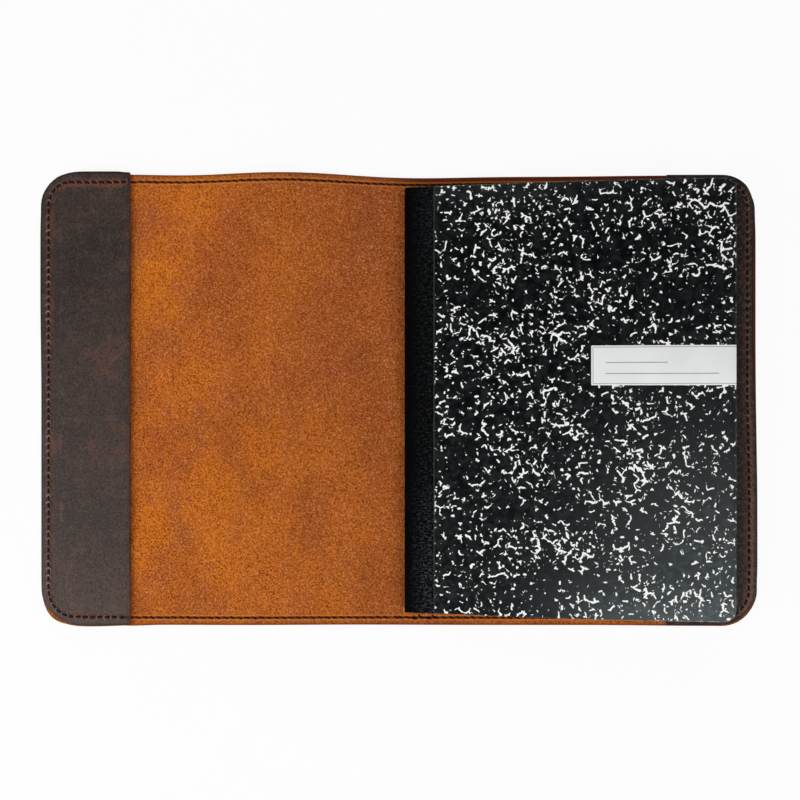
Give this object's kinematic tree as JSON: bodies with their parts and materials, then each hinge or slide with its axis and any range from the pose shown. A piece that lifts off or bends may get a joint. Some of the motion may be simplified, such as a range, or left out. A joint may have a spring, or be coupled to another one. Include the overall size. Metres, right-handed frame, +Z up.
{
  "type": "leather notebook cover with composition notebook",
  "caption": "Open leather notebook cover with two sewn pockets; a sewn composition notebook sits with its back board in the right-hand pocket.",
  "frame": {"origin": "on the table under the middle of the open leather cover", "axes": "+X along the open cover from the empty pocket to the notebook, +Y up the page, +Z up from the table"},
  "size_m": [0.425, 0.267, 0.0248],
  "materials": {
    "cover_leather": "matte",
    "flap_leather": "satin",
    "seam_thread": "matte",
    "marbled_board": "satin",
    "spine_cloth": "satin",
    "leaves": "matte",
    "label_paper": "matte",
    "book_thread": "matte"
  },
  "bodies": {
    "back_cover": {"outer_back_panel": "cover_leather", "back_pocket_flap": "flap_leather", "back_inner_thread": "seam_thread", "back_outer_thread": "seam_thread", "notebook_back_board": "marbled_board", "back_spine_tape": "spine_cloth", "page_block": "leaves", "notebook_sewing_thread": "book_thread"},
    "cover_spine": {"outer_spine_panel": "cover_leather", "spine_inner_thread": "seam_thread", "spine_outer_thread": "seam_thread"},
    "front_cover": {"outer_front_panel": "cover_leather", "front_pocket_flap": "flap_leather", "front_inner_thread": "seam_thread", "front_outer_thread": "seam_thread"},
    "notebook_front": {"notebook_front_board": "marbled_board", "front_spine_tape": "spine_cloth", "notebook_label": "label_paper"}
  },
  "joints": [
    {"name": "cover_back_fold", "type": "hinge", "parent": "back_cover", "child": "cover_spine", "pos_m": [0.0025, 0, 0.002], "axis": [0, 1, 0], "range_deg": [0, 87], "deforming": ["outer_spine_panel"]},
    {"name": "cover_front_fold", "type": "hinge", "parent": "cover_spine", "child": "front_cover", "pos_m": [-0.0095, 0, 0.002], "axis": [0, 1, 0], "range_deg": [0, 87]},
    {"name": "notebook_front_hinge", "type": "hinge", "parent": "back_cover", "child": "notebook_front", "pos_m": [0.0056, 0, 0.01035], "axis": [0, -1, 0], "range_deg": [-2, 177]}
  ],
  "couplings": [
    {"joint": "cover_front_fold", "follows": "cover_back_fold", "ratio": 1}
  ]
}
